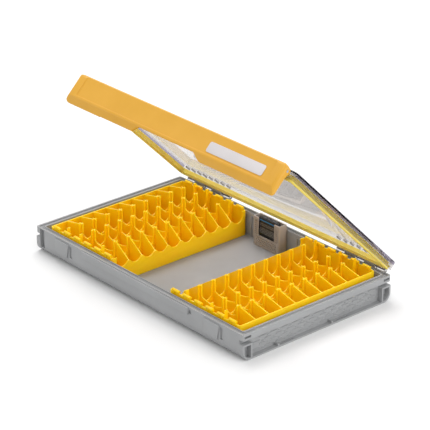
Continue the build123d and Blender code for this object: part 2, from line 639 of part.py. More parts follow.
HOLD_FRONT = HOLD_BACK - HOLD_D
with BuildPart() as desiccant_holder:
    with BuildSketch(Plane.XY.offset(FLOOR_T)):
        with Locations((HOLD_X, HOLD_Y)):
            Rectangle(HOLD_W, HOLD_D)
    extrude(amount=HOLD_TOP - FLOOR_T)
    fillet(desiccant_holder.edges().filter_by(Axis.Z).group_by(Axis.Y)[0], HOLD_R)
    with Locations(*[(x, HOLD_BACK, FLOOR_T) for x in holder_x([HOLD_PAD_X])]):
        Box(HOLD_PAD_W, 2 * (INNER_Y - HOLD_BACK), HOLD_PAD_H, align=UPWARDS)
    with BuildSketch(Plane.XY.offset(FLOOR_T + HOLD_T)):
        with Locations((HOLD_X, HOLD_Y)):
            Rectangle(HOLD_W - 2 * HOLD_T, HOLD_D - 2 * HOLD_T)
    extrude(amount=HOLD_TOP, mode=Mode.SUBTRACT)
    # window in the front, open at the top
    with Locations((HOLD_X, HOLD_FRONT, WINDOW_Z)):
        Box(WINDOW_W, 3 * HOLD_T, TRAY_H, align=UPWARDS, mode=Mode.SUBTRACT)
    # vent holes below and beside the window
    side_x = (WINDOW_W / 2 + HOLE_SIDE, WINDOW_W / 2 + HOLE_SIDE + HOLE_PITCH * 0.9)
    side_holes = [(x, WINDOW_Z + HOLE_PITCH * (i + 0.5)) for x in holder_x(side_x) for i in range(SIDE_HOLES)]
    low_holes = [
        (HOLD_X + HOLE_PITCH * (i - LOW_HOLES[1] // 2 + 0.5 * (row % 2)),
         LOW_HOLE_Z + HOLE_PITCH * 0.95 * row)
        for row in range(LOW_HOLES[0])
        for i in range(LOW_HOLES[1] - row % 2)
    ]
    with BuildSketch(Plane.XZ.offset(-HOLD_FRONT)):
        with Locations(*(side_holes + low_holes)):
            Circle(HOLE_R)
    extrude(amount=1.5 * HOLD_T, both=True, mode=Mode.SUBTRACT)
save(desiccant_holder, "desiccant_holder")

PACK_Z = FLOOR_T + HOLD_T + PACK_LIFT
PACK_FRONT = HOLD_Y - PACK_D / 2
with BuildPart() as desiccant_packet:
    with BuildSketch(Plane.XY.offset(PACK_Z)):
        with Locations((HOLD_X, HOLD_Y)):
            Rectangle(PACK_W, PACK_D)
    extrude(amount=PACK_H)
    fillet(desiccant_packet.edges().filter_by(Axis.X), PACK_R)
save(desiccant_packet, "desiccant_packet")

with BuildPart() as packet_label:
    with BuildSketch(Plane.XZ.offset(-PACK_FRONT)):
        low, high = WINDOW_Z + PACK_LABEL_IN, PACK_Z + PACK_H - PACK_LABEL_DROP
        with Locations((HOLD_X, (low + high) / 2)):
            Rectangle(WINDOW_W - 2 * PACK_LABEL_IN, high - low)
    extrude(amount=PACK_LABEL_T)
save(packet_label, "packet_label")
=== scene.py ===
"""Flat jig box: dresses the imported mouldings, adds the fluted seal, packet and print, and lights them."""

import json
import logging
import math
from dataclasses import dataclass
from enum import Enum

import bmesh
import bpy
import numpy as np
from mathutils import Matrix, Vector


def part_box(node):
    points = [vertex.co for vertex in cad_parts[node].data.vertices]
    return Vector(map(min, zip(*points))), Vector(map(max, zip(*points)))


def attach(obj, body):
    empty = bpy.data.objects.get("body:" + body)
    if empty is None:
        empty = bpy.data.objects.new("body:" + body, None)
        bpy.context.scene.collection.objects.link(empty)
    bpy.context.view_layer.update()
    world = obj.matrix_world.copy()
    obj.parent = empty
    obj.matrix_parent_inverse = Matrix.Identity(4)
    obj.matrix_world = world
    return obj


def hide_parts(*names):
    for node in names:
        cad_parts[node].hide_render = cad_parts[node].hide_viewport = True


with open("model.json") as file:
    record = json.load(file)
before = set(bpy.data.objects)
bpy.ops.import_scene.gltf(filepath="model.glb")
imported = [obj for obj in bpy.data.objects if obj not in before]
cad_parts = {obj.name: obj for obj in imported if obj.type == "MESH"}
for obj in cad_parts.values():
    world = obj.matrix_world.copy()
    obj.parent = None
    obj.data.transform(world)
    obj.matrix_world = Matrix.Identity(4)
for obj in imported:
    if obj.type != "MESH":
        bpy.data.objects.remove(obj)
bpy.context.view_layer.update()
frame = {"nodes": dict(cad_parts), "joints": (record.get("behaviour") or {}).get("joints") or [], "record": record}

MM = 0.001
WELD_MADE_M = 1e-6
WELD_CAD_M = 2e-6
FLAT_DEG = 0.6
LOG = logging.getLogger("jig_box")

Tree = bpy.types.NodeTree
Socket = bpy.types.NodeSocket
Point = tuple[float, float, float]
Span = tuple[float, float]
Finishes = dict[str, bpy.types.Material]


# ------------------------------------------------------------------ colour and node helpers
def linear(hex_colour: str) -> tuple[float, float, float, float]:
    """Turn an sRGB hex colour to the linear values that shaders take.

    Args:
        hex_colour: Six hex digits with a leading #.

    Returns:
        Linear red, green and blue, and an alpha of 1.
    """
    channels = np.array([int(hex_colour[i:i + 2], 16) for i in (1, 3, 5)]) / 255
    low, high = channels / 12.92, ((channels + 0.055) / 1.055) ** 2.4
    return (*np.where(channels <= 0.04045, low, high).tolist(), 1.0)


def add_node(tree: Tree, kind: str, settings: dict | None = None, **inputs) -> bpy.types.Node:
    """Add a node, set its properties and sockets, and link what feeds it.

    Args:
        tree: The tree that gets the node.
        kind: The node's type without its "ShaderNode" prefix.
        settings: Property names with their values.
        inputs: Socket names (underscores for spaces, or i0, i1 for a number), each with a value or with an
            output socket.

    Returns:
        The new node.
    """
    node = tree.nodes.new("ShaderNode" + kind)
    for name, value in (settings or {}).items():
        setattr(node, name, value)
    for name, value in inputs.items():
        key = int(name[1:]) if name[0] == "i" and name[1:].isdigit() else name.replace("_", " ")
        if isinstance(value, Socket):
            tree.links.new(value, node.inputs[key])
        else:
            node.inputs[key].default_value = value
    return node


def ramp(tree: Tree, factor: Socket, stops: list[tuple[float, str]], hard: bool = False) -> Socket:
    """Colour ramp through hex colours at given places.

    Args:
        tree: The tree that gets the node.
        factor: What drives the ramp.
        stops: Places from 0 to 1 with their hex colours.
        hard: Whether colours meet in a sharp step.

    Returns:
        The ramp's colour socket.
    """
    node = add_node(tree, "ValToRGB", Fac=factor)
    node.color_ramp.interpolation = "CONSTANT" if hard else "LINEAR"
    elements = node.color_ramp.elements
    while len(elements) < len(stops):
        elements.new(0.5)
    for element, (place, colour) in zip(elements, stops):
        element.position = place
        element.color = linear(colour)
    return node.outputs["Color"]


def new_material(name: str) -> tuple[bpy.types.Material, Tree, bpy.types.Node, Socket]:
    """Start a material.

    Args:
        name: The material's name.

    Returns:
        The material, its tree, its Principled shader and the Object coordinates socket.
    """
    material = bpy.data.materials.new(name)
    material.use_nodes = True
    tree = material.node_tree
    return material, tree, tree.nodes["Principled BSDF"], add_node(tree, "TexCoord").outputs["Object"]


def lid_hinge() -> tuple[Span, float]:
    """The hinge axis as Y and Z in metres, and how far the lid stands open, in radians."""
    hinge = next(joint for joint in frame["joints"] if joint["name"] == "lid_hinge")
    return tuple(hinge["pos_m"][1:]), -math.radians(hinge["range_deg"][0])


# ------------------------------------------------------------------ finishes
class MouldFace(Enum):
    """How a mould's face was cut, with the grain spacing and depth in mm that the moulding copies.

    All are coarser than life, because the real grain is too fine to show.
    """

    SPARK_ERODED = (0.9, 0.025)
    SATIN = (1.6, 0.03)
    DRAW_POLISHED = (4.0, 0.015)


@dataclass(frozen=True)
class MouldedPlastic:
    """Injection-moulded plastic: one colour through and through, with the grain that the mould left on it.

    The base colour drifts a little over the piece, as flow lines do, and the roughness drifts with it.  Where
    glow is set, thin walls let some light through.
    """

    name: str
    colour: str
    light: str
    dark: str
    face: MouldFace
    roughness: float
    ior: float = 1.49
    glow_mm: Point = (0.0, 0.0, 0.0)
    glow: float = 0.0
    shine: float = 0.5
    flow_mm: float = 40.0
    flow_range: Span = (0.3, 0.7)
    rough_drift: Span = (-0.05, 0.06)

    def make(self) -> bpy.types.Material:
        """Build the material.

        Returns:
            The material, ready to assign.
        """
        material, tree, shader, place = new_material(self.name)
        spacing, depth = self.face.value
        (low, high), (smoother, rougher) = self.flow_range, self.rough_drift
        flow = add_node(tree, "TexNoise", Vector=place, Scale=1 / (self.flow_mm * MM), Detail=3.0,
                        Roughness=0.6)
        stops = [(low, self.dark), ((low + high) / 2, self.colour), (high, self.light)]
        colour = ramp(tree, flow.outputs["Fac"], stops)
        grain = add_node(tree, "TexNoise", Vector=place, Scale=1 / (spacing * MM), Detail=4.0,
                         Roughness=0.65)
        rough = add_node(tree, "MapRange", Value=flow.outputs["Fac"], From_Min=low, From_Max=high,
                         To_Min=self.roughness + smoother, To_Max=self.roughness + rougher)
        bump = add_node(tree, "Bump", Height=grain.outputs["Fac"], Strength=0.5, Distance=depth * MM)
        tree.links.new(colour, shader.inputs["Base Color"])
        tree.links.new(rough.outputs["Result"], shader.inputs["Roughness"])
        tree.links.new(bump.outputs["Normal"], shader.inputs["Normal"])
        shader.inputs["IOR"].default_value = self.ior
        shader.inputs["Specular IOR Level"].default_value = self.shine
        if self.glow:
            shader.inputs["Subsurface Weight"].default_value = self.glow
            shader.inputs["Subsurface Radius"].default_value = tuple(v * MM for v in self.glow_mm)
            shader.inputs["Subsurface Scale"].default_value = 1.0
        return material


@dataclass(frozen=True)
class ClearPlastic:
    """Clear styrene, polished in the mould: see-through with a sharp reflection and a faint grey.

    The index is lower than solid styrene's, because a flat sheet hardly shifts what is behind it.  The upper
    edges of both end walls are seen along their whole depth, so they look much darker and violet; this dark
    violet is painted shade in the base colour.  The short ribs by the hinge and the crease in front of them
    show as fine dark lines for the same reason, and these are painted shade too.  Lamps pass through, so that
    the lid throws only a faint shadow.

    In the sizes, a is the distance from the hinge axis along the lid, and n is the height square to the lid.
    """

    name: str
    tint: str
    # edge: the painted shade colour for the end walls' upper edges
    edge: str
    # line: the painted shade colour for the hinge ribs and the crease
    line: str
    shadow: str
    half_length_mm: float
    hinge: Span
    opened: float
    # where the painted edge shade lies: half its width at each end, and its heights
    edge_mm: float = 0.9
    edge_n_mm: Span = (6.6, 11.5)
    # where the painted line shade lies: the hinge ribs and the crease
    rib_first_mm: float = 93.0
    rib_pitch_mm: float = 10.5
    rib_count: int = 8
    rib_t_mm: float = 0.6
    rib_a_mm: Span = (5.0, 15.0)
    crease_a_mm: Span = (13.0, 13.9)
    crease_n_mm: Span = (8.6, 9.4)
    ior: float = 1.12
    roughness: float = 0.03
    ripple_mm: float = 45.0
    ripple_depth_mm: float = 0.05

    @staticmethod
    def within(tree: Tree, value: Socket, span_mm: Span) -> Socket:
        """One where a length lies in a span, and nought elsewhere.

        Args:
            tree: The material's tree.
            value: The length in metres.
            span_mm: The span's two ends.

        Returns:
            The one or nought.
        """
        low, high = (v * MM for v in span_mm)
        return add_node(tree, "Math", {"operation": "COMPARE"}, i0=value, i1=(low + high) / 2,
                        i2=(high - low) / 2).outputs["Value"]

    @staticmethod
    def step(tree: Tree, operation: str, first: Socket, second: Socket | float = 0.0) -> Socket:
        """The outcome of one arithmetic step."""
        return add_node(tree, "Math", {"operation": operation}, i0=first, i1=second).outputs["Value"]

    def lid_axis(self, tree: Tree, place: Socket, direction: Point) -> Socket:
        """Distance from the hinge axis along a direction."""
        dot = add_node(tree, "VectorMath", {"operation": "DOT_PRODUCT"}, i0=place, i1=direction)
        return self.step(tree, "SUBTRACT", dot.outputs["Value"],
                         direction[1] * self.hinge[0] + direction[2] * self.hinge[1])

    def painted_edge_shade(self, tree: Tree, across: Socket, up: Socket) -> Socket:
        """One along the upper edges of both end walls, where the painted edge shade goes, and nought elsewhere.

        Args:
            tree: The material's tree.
            across: Distance from the middle of the box.
            up: Height square to the lid.

        Returns:
            The one or nought.
        """
        span = (self.half_length_mm - self.edge_mm, self.half_length_mm + self.edge_mm)
        height = self.within(tree, up, self.edge_n_mm)
        return self.step(tree, "MULTIPLY", self.within(tree, across, span), height)

    def painted_line_shade(self, tree: Tree, across: Socket, out: Socket, up: Socket) -> Socket:
        """One on the hinge ribs and along the crease, where the painted line shade goes.

        The distance from the middle, taken modulo the rib pitch, gives the place within one rib's share.

        Args:
            tree: The material's tree.
            across: Distance from the middle of the box.
            out: Distance in front of the hinge axis along the lid.
            up: Height square to the lid.

        Returns:
            The one or nought.
        """
        first, pitch, half = self.rib_first_mm, self.rib_pitch_mm, self.rib_pitch_mm / 2
        phase = self.step(tree, "SUBTRACT", across, (first - half) * MM)
        phase = self.step(tree, "MODULO", phase, pitch * MM)
        rib = self.within(tree, phase, (half - self.rib_t_mm, half + self.rib_t_mm))
        group = self.within(tree, across, (first - half, first + pitch * self.rib_count - half))
        rib = self.step(tree, "MULTIPLY", rib, group)
        rib = self.step(tree, "MULTIPLY", rib, self.within(tree, out, self.rib_a_mm))
        crease = self.step(tree, "MULTIPLY", self.within(tree, out, self.crease_a_mm),
                           self.within(tree, up, self.crease_n_mm))
        return self.step(tree, "MAXIMUM", rib, crease)

    def make(self) -> bpy.types.Material:
        """Build the material.

        Returns:
            The material, ready to assign.
        """
        material, tree, shader, place = new_material(self.name)
        across = self.step(tree, "ABSOLUTE", add_node(tree, "SeparateXYZ", Vector=place).outputs["X"])
        sine, cosine = math.sin(self.opened), math.cos(self.opened)
        out = self.lid_axis(tree, place, (0.0, -cosine, sine))
        up = self.lid_axis(tree, place, (0.0, sine, cosine))
        # paint shade: fine dark lines on the hinge ribs and the crease over the clear tint
        with_painted_lines = add_node(tree, "Mix", {"data_type": "RGBA"}, i0=self.painted_line_shade(tree, across, out, up),
                         i6=linear(self.tint), i7=linear(self.line))
        # paint shade: the dark violet edge shade over the end walls' upper edges
        colour = add_node(tree, "Mix", {"data_type": "RGBA"}, i0=self.painted_edge_shade(tree, across, up),
                          i6=with_painted_lines.outputs[2], i7=linear(self.edge))
        tree.links.new(colour.outputs[2], shader.inputs["Base Color"])
        ripple = add_node(tree, "TexNoise", Vector=place, Scale=1 / (self.ripple_mm * MM), Detail=1.0)
        bump = add_node(tree, "Bump", Height=ripple.outputs["Fac"], Strength=0.15,
                        Distance=self.ripple_depth_mm * MM)
        tree.links.new(bump.outputs["Normal"], shader.inputs["Normal"])
        shader.inputs["Transmission Weight"].default_value = 1.0
        shader.inputs["Roughness"].default_value = self.roughness
        shader.inputs["IOR"].default_value = self.ior
        clear = add_node(tree, "BsdfTransparent", Color=linear(self.shadow))
        rays = add_node(tree, "LightPath")
        mixed = add_node(tree, "MixShader", i0=rays.outputs["Is Shadow Ray"], i1=shader.outputs["BSDF"],
                         i2=clear.outputs["BSDF"])
        tree.links.new(mixed.outputs["Shader"], tree.nodes["Material Output"].inputs["Surface"])
        return material


@dataclass(frozen=True)
class DrawnSteel:
    """Drawn steel rod cut to length: bright, with fine lines along it."""

    name: str = "drawn_steel_rod"
    colour: str = "#B4B4B8"
    line_mm: float = 0.2
    run_mm: float = 20.0
    roughness: Span = (0.22, 0.48)

    def make(self) -> bpy.types.Material:
        """Build the material.

        Returns:
            The material, ready to assign.
        """
        material, tree, shader, place = new_material(self.name)
        scale = (1 / (self.run_mm * MM), 1 / (self.line_mm * MM), 1 / (self.line_mm * MM))
        along = add_node(tree, "Mapping", Vector=place, Scale=scale)
        lines = add_node(tree, "TexNoise", Vector=along.outputs["Vector"], Scale=1.0, Detail=3.0)
        rough = add_node(tree, "MapRange", Value=lines.outputs["Fac"], To_Min=self.roughness[0],
                         To_Max=self.roughness[1])
        tree.links.new(rough.outputs["Result"], shader.inputs["Roughness"])
        shader.inputs["Base Color"].default_value = linear(self.colour)
        shader.inputs["Metallic"].default_value = 1.0
        return material


@dataclass(frozen=True)
class PrintedPanel:
    """Flexo-printed black panel: rows of plain pale bars in place of words, under one blue line.

    The bars are bricks on a black ground.  Their rows are as high as small print, and no bar is a letter.
    """

    name: str
    top_mm: float
    height_mm: float
    ground: str = "#0E0E10"
    bar: str = "#6C6A66"
    line: str = "#2F7FB0"
    row_mm: float = 1.9
    row_shift: float = 0.37
    bar_mm: float = 6.5
    gap_mm: float = 0.75
    printed: tuple[Span, ...] = ((0.1, 0.52), (0.6, 0.82))
    line_from: float = 0.93
    crease_mm: float = 5.0
    crease_depth_mm: float = 0.2

    def make(self) -> bpy.types.Material:
        """Build the material.

        Returns:
            The material, ready to assign.
        """
        material, tree, shader, place = new_material(self.name)
        axes = add_node(tree, "SeparateXYZ", Vector=place)
        flat = add_node(tree, "CombineXYZ", X=axes.outputs["X"], Y=axes.outputs["Z"])
        bars = add_node(tree, "TexBrick", {"offset": self.row_shift, "squash": 1.0},
                        Vector=flat.outputs["Vector"], Scale=1.0, Color1=linear(self.bar),
                        Color2=linear(self.bar), Mortar=linear(self.ground),
                        Mortar_Size=self.gap_mm * MM / 2, Mortar_Smooth=0.1, Brick_Width=self.bar_mm * MM,
                        Row_Height=self.row_mm * MM)
        height = add_node(tree, "MapRange", Value=axes.outputs["Z"],
                          From_Min=(self.top_mm - self.height_mm) * MM, From_Max=self.top_mm * MM)
        off, on = "#000000", "#FFFFFF"
        stops = [(0.0, off), *(stop for low, high in self.printed for stop in ((low, on), (high, off)))]
        band = ramp(tree, height.outputs["Result"], stops, True)
        printed = add_node(tree, "Mix", {"data_type": "RGBA"}, i0=band, i6=linear(self.ground),
                           i7=bars.outputs["Color"])
        stripe = ramp(tree, height.outputs["Result"], [(0.0, off), (self.line_from, on)], True)
        colour = add_node(tree, "Mix", {"data_type": "RGBA"}, i0=stripe, i6=printed.outputs[2],
                          i7=linear(self.line))
        crease = add_node(tree, "TexNoise", Vector=place, Scale=1 / (self.crease_mm * MM), Detail=2.0)
        bump = add_node(tree, "Bump", Height=crease.outputs["Fac"], Strength=0.4,
                        Distance=self.crease_depth_mm * MM)
        tree.links.new(colour.outputs[2], shader.inputs["Base Color"])
        tree.links.new(bump.outputs["Normal"], shader.inputs["Normal"])
        shader.inputs["Roughness"].default_value = 0.38
        return material


# ------------------------------------------------------------------ mesh helpers
def to_object(name: str, points: np.ndarray, faces: np.ndarray) -> bpy.types.Object:
    """Make a smooth-shaded object from whole arrays of points and faces.

    Args:
        name: The object's and mesh's name.
        points: N by 3 places in metres.
        faces: M by 4 indices.

    Returns:
        The object, linked to the scene, at the origin, with its faces turned outwards.
    """
    mesh = bpy.data.meshes.new(name)
    mesh.from_pydata(points.reshape(-1, 3).tolist(), [], faces.tolist())
    work = bmesh.new()
    work.from_mesh(mesh)
    bmesh.ops.remove_doubles(work, verts=work.verts, dist=WELD_MADE_M)
    bmesh.ops.recalc_face_normals(work, faces=work.faces)
    work.to_mesh(mesh)
    work.free()
    mesh.polygons.foreach_set("use_smooth", np.ones(len(mesh.polygons), bool))
    mesh.update()
    made = bpy.data.objects.new(name, mesh)
    bpy.context.scene.collection.objects.link(made)
    return made


def grid_faces(rows: int, columns: int, wrap_rows: bool = False, wrap_columns: bool = False) -> np.ndarray:
    """Quads over a grid of points, closed on itself where asked.

    Args:
        rows: Points along the first parameter.
        columns: Points along the second parameter.
        wrap_rows: Whether the last row joins the first.
        wrap_columns: Whether the last column joins the first.

    Returns:
        M by 4 indices, counted row by row.
    """
    i = np.arange(rows if wrap_rows else rows - 1)
    j = np.arange(columns if wrap_columns else columns - 1)
    a, b = np.meshgrid(i, j, indexing="ij")
    c, d = (a + 1) % rows, (b + 1) % columns
    return np.stack([a * columns + b, a * columns + d, c * columns + d, c * columns + b], -1).reshape(-1, 4)


def signed_power(value: np.ndarray, power: float) -> np.ndarray:
    """Size to a power, with the sign kept."""
    return np.sign(value) * np.abs(value) ** power


def rounded_loop(half_x: float, half_y: float, radius: float, count: int) -> tuple[np.ndarray, np.ndarray]:
    """Points evenly spaced round a rectangle with rounded corners.

    The corner arcs are drawn by angle, joined by straight runs, and the whole loop is sampled again at equal
    steps of its length.

    Args:
        half_x: Half-length along X.
        half_y: Half-length along Y.
        radius: Corner radius.
        count: How many points.

    Returns:
        The points and their outward normals, each count by 2.
    """
    nudge = 1e-3  # keeps the points on the axes in one corner
    angles = np.radians(np.arange(0, 361, 5.0))
    circle = np.stack([np.cos(angles), np.sin(angles)], -1)
    corner = np.sign(np.stack([np.cos(angles + nudge), np.sin(angles + nudge)], -1))
    outline = corner * (half_x - radius, half_y - radius) + radius * circle
    outline[-1] = outline[0]
    step = np.hypot(*np.diff(outline, axis=0).T)
    length = np.concatenate([[0.0], np.cumsum(step)])
    at = np.linspace(0, length[-1], count, endpoint=False)
    points = np.stack([np.interp(at, length, outline[:, k]) for k in (0, 1)], -1)
    along = np.roll(points, -1, 0) - np.roll(points, 1, 0)
    along /= np.linalg.norm(along, axis=1, keepdims=True)
    return points, np.stack([along[:, 1], -along[:, 0]], -1)


def moulding(node: str, edge_mm: float, corner_deg: float = 35.0) -> bpy.types.Object:
    """Copy a CAD node as one joined skin with softened edges, and let the copy stand for it.

    The loose triangles are merged, flat neighbours are joined, and a bevel of the mould's edge radius rounds
    every corner sharper than corner_deg.

    Args:
        node: The CAD node that is copied.
        edge_mm: Radius of the softened edges.
        corner_deg: Corners flatter than this stay as they are.

    Returns:
        The new piece, which replaces the node.
    """
    source = frame["nodes"][node]
    mesh = bmesh.new()
    mesh.from_mesh(source.data)
    bmesh.ops.remove_doubles(mesh, verts=mesh.verts, dist=WELD_CAD_M)
    bmesh.ops.dissolve_limit(mesh, angle_limit=math.radians(FLAT_DEG), verts=mesh.verts, edges=mesh.edges)
    data = bpy.data.meshes.new(node + "_skin")
    mesh.to_mesh(data)
    mesh.free()
    data.polygons.foreach_set("use_smooth", np.ones(len(data.polygons), bool))
    piece = bpy.data.objects.new(node + "_skin", data)
    bpy.context.scene.collection.objects.link(piece)
    bevel = piece.modifiers.new("soft_edges", "BEVEL")
    bevel.width = edge_mm * MM
    bevel.segments = 2
    bevel.limit_method = "ANGLE"
    bevel.angle_limit = math.radians(corner_deg)
    bevel.use_clamp_overlap = True
    bevel.harden_normals = True
    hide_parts(node)
    return piece


def fit_out(piece: bpy.types.Object, material: bpy.types.Material, body: str) -> bpy.types.Object:
    """Give a piece its material, and let it ride on its body.

    Args:
        piece: The piece.
        material: Its only material.
        body: The CAD body that it moves with.

    Returns:
        The same piece.
    """
    piece.data.materials.clear()
    piece.data.materials.append(material)
    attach(piece, body)
    return piece


# ------------------------------------------------------------------ sub-assemblies
@dataclass
class Tray:
    """The grey tray and the perforated drying-agent holder on its back wall."""

    edge_mm: float = 0.3
    holder_edge_mm: float = 0.15

    def build(self, finishes: Finishes) -> list[bpy.types.Object]:
        """Build both mouldings.

        Args:
            finishes: The materials by name.

        Returns:
            The new pieces.
        """
        tray = moulding("tray", self.edge_mm)
        holder = moulding("desiccant_holder", self.holder_edge_mm)
        return [fit_out(tray, finishes["grey_plastic"], "tray"),
                fit_out(holder, finishes["warm_grey_plastic"], "tray")]


@dataclass
class HookRacks:
    """The two yellow racks."""

    edge_mm: float = 0.4

    def build(self, finishes: Finishes) -> list[bpy.types.Object]:
        """Build both racks.

        Args:
            finishes: The materials by name.

        Returns:
            The new pieces.
        """
        return [fit_out(moulding(f"jig_rack_{side}", self.edge_mm), finishes["rack_yellow"],
                        f"rack_{side}") for side in ("left", "right")]


@dataclass(frozen=True)
class Ring:
    """Where a ring's section lies: its middle's distance in from the lid's edge, its width and heights."""

    inset_mm: float
    width_mm: float
    low_mm: float
    high_mm: float


@dataclass
class Lid:
    """The clear lid, the seal ring in its channel and the yellow sleeve over the channel's inner skirt.

    Both rings have a rounded box for a section, carried round the lid's edge in the lid's own plane.  Their
    lower and inner sides are fluted across, with one wave every flute_mm.
    """

    edge_mm: float = 0.25
    seal: Ring = Ring(4.2, 3.3, -0.85, 4.15)
    sleeve: Ring = Ring(6.35, 2.5, 0.75, 6.15)
    radius_mm: float = 3.0
    depth_mm: float = 216.0
    near_mm: float = 4.0
    flute_mm: float = 2.5
    flute_depth_mm: float = 0.35
    steps_per_flute: int = 6
    section_points: int = 20
    box_power: float = 0.35

    @staticmethod
    def plane(across: np.ndarray, out: np.ndarray, up: np.ndarray) -> np.ndarray:
        """Places in the lid's plane turned to the row frame.

        X stays; distance in front of the hinge axis runs along the opened lid, and height is square to it.

        Args:
            across: X in mm.
            out: Distance in front of the hinge axis in mm.
            up: Height over the lid's lower edge in mm.

        Returns:
            Places in metres, with a last axis of 3.
        """
        (axis_y, axis_z), opened = lid_hinge()
        y = axis_y + MM * (-out * math.cos(opened) + up * math.sin(opened))
        z = axis_z + MM * (out * math.sin(opened) + up * math.cos(opened))
        return np.stack([MM * across, y, z], -1)

    def fluted(self, name: str, ring: Ring) -> bpy.types.Object:
        """Build one ring.

        With s along the loop and t round the section, the offset is w/2 cos t and the height is h/2 sin t,
        both raised to a power that squares the section.  The lower side rises and the inner side moves
        outwards by a cosine wave in s.

        Args:
            name: The piece's name.
            ring: Where its section lies.

        Returns:
            The ring.
        """
        low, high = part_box("lid")
        half_x = (high.x - low.x) / 2 / MM - ring.inset_mm
        half_y = self.depth_mm / 2 - ring.inset_mm
        around = 4 * (half_x + half_y) - (8 - 2 * math.pi) * self.radius_mm
        count = round(around / self.flute_mm) * self.steps_per_flute
        path, normal = rounded_loop(half_x, half_y, self.radius_mm, count)
        s, t = np.meshgrid(np.arange(count), np.arange(self.section_points), indexing="ij")
        turn = 2 * np.pi * t / self.section_points
        wave = self.flute_depth_mm * (0.5 - 0.5 * np.cos(2 * np.pi * s / self.steps_per_flute))
        offset = (ring.width_mm / 2 * signed_power(np.cos(turn), self.box_power)
                  + wave * np.clip(-np.cos(turn), 0, 1))
        middle, half = (ring.high_mm + ring.low_mm) / 2, (ring.high_mm - ring.low_mm) / 2
        height = (middle + half * signed_power(np.sin(turn), self.box_power)
                  + wave * np.clip(-np.sin(turn), 0, 1))
        x = path[s, 0] + normal[s, 0] * offset
        out = self.near_mm + self.depth_mm / 2 + path[s, 1] + normal[s, 1] * offset
        return to_object(name, self.plane(x, out, height), grid_faces(count, self.section_points, True, True))

    def build(self, finishes: Finishes) -> list[bpy.types.Object]:
        """Build the lid and both rings.

        Args:
            finishes: The materials by name.

        Returns:
            The new pieces.
        """
        lid = moulding("lid", self.edge_mm)
        seal = self.fluted("fluted_seal", self.seal)
        sleeve = self.fluted("skirt_sleeve", self.sleeve)
        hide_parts("lid_seal")
        return [fit_out(lid, finishes["clear_plastic"], "lid"),
                fit_out(seal, finishes["seal_rubber"], "lid"),
                fit_out(sleeve, finishes["seal_rubber"], "lid")]


@dataclass
class LatchBar:
    """The yellow latch bar and its write-on label."""

    edge_mm: float = 0.7
    label_edge_mm: float = 0.2

    def build(self, finishes: Finishes) -> list[bpy.types.Object]:
        """Build the bar and the label.

        Args:
            finishes: The materials by name.

        Returns:
            The new pieces.
        """
        bar = moulding("latch_bar", self.edge_mm)
        label = moulding("latch_label", self.label_edge_mm)
        return [fit_out(bar, finishes["latch_yellow"], "latch"),
                fit_out(label, finishes["label_film"], "latch")]


@dataclass
class DryingPacket:
    """The drying-agent packet: a crinkled black film pillow, with a printed panel on its front.

    The pillow is a rounded box whose sides pull in towards its crimped ends.
    """

    rows: int = 72
    columns: int = 96
    round_power: float = 0.42
    end_power: float = 0.3
    crease_mm: float = 0.22
    waves: tuple[tuple[float, float, float, float], ...] = (
        (0.71, 0.43, 0.0, 1.0), (-0.52, 1.13, 1.0, 1.0), (1.9, 0.8, 2.0, 0.7), (0.9, -2.1, 0.5, 0.6))
    usual_sum: float = 1.6
    top_stretch: float = 3.0
    panel_share: float = 0.5
    panel_rows: int = 40
    panel_columns: int = 44
    panel_t_mm: float = 0.12

    def creases(self, x: np.ndarray, z: np.ndarray) -> np.ndarray:
        """Height of the film's creases: the size of a sum of crossing sine waves, which folds them sharp.

        Args:
            x: Places across the packet in mm.
            z: Places up the packet in mm.

        Returns:
            Heights in mm.
        """
        total = sum(weight * np.sin(in_x * x + in_z * z + phase) for in_x, in_z, phase, weight in self.waves)
        return self.crease_mm * np.abs(total) / self.usual_sum

    def pillow(self) -> bpy.types.Object:
        """Build the pillow.

        A rounded box: with u from foot to top and v round it, x and y are cosines and sines of v, shrunk by
        the cosine of u, and z is the sine of u, each raised to a power under one.  The creases push the walls
        inwards.

        Returns:
            The pillow.
        """
        low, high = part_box("desiccant_packet")
        middle, half = np.array((low + high) / 2) / MM, np.array((high - low) / 2) / MM
        u = np.linspace(-np.pi / 2, np.pi / 2, self.rows)[:, None]
        v = np.linspace(0, 2 * np.pi, self.columns, endpoint=False)[None, :]
        shrink = np.abs(np.cos(u)) ** self.end_power
        x = half[0] * shrink * signed_power(np.cos(v), self.round_power)
        z = half[2] * signed_power(np.sin(u), self.end_power) + 0 * v
        y = half[1] * shrink * signed_power(np.sin(v), self.round_power)
        inward = self.creases(x, z) * np.abs(np.sin(v)) * shrink
        y = y - np.sign(y) * np.minimum(inward, np.abs(y))
        top = self.creases(x, self.top_stretch * y) * np.clip(np.sin(u), 0, 1)
        points = np.stack([x + middle[0], y + middle[1], z - top + middle[2]], -1) * MM
        pillow = to_object("packet_pillow", points, grid_faces(self.rows, self.columns, False, True))
        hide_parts("desiccant_packet")
        return pillow

    def panel(self) -> bpy.types.Object:
        """Build the printed panel: a flat grid in x and z, pushed back by a share of the film's creases.

        Returns:
            The panel, as a thin closed sheet.
        """
        low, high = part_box("packet_label")
        x = np.linspace(low.x, high.x, self.panel_columns)[None, :] / MM
        z = np.linspace(low.z, high.z, self.panel_rows)[:, None] / MM
        y = low.y / MM + self.panel_share * self.creases(x, z) + 0 * x
        points = np.stack([x + 0 * z, y, z + 0 * x], -1) * MM
        panel = to_object("packet_print", points, grid_faces(self.panel_rows, self.panel_columns))
        if panel.data.polygons[0].normal.y > 0:
            panel.data.flip_normals()
        sheet = panel.modifiers.new("film", "SOLIDIFY")
        sheet.thickness = self.panel_t_mm * MM
        sheet.offset = -1.0
        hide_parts("packet_label")
        return panel

    def build(self, finishes: Finishes) -> list[bpy.types.Object]:
        """Build the packet and its print.

        Args:
            finishes: The materials by name.

        Returns:
            The new pieces.
        """
        return [fit_out(self.pillow(), finishes["packet_film"], "packet"),
                fit_out(self.panel(), finishes["packet_print"], "packet")]


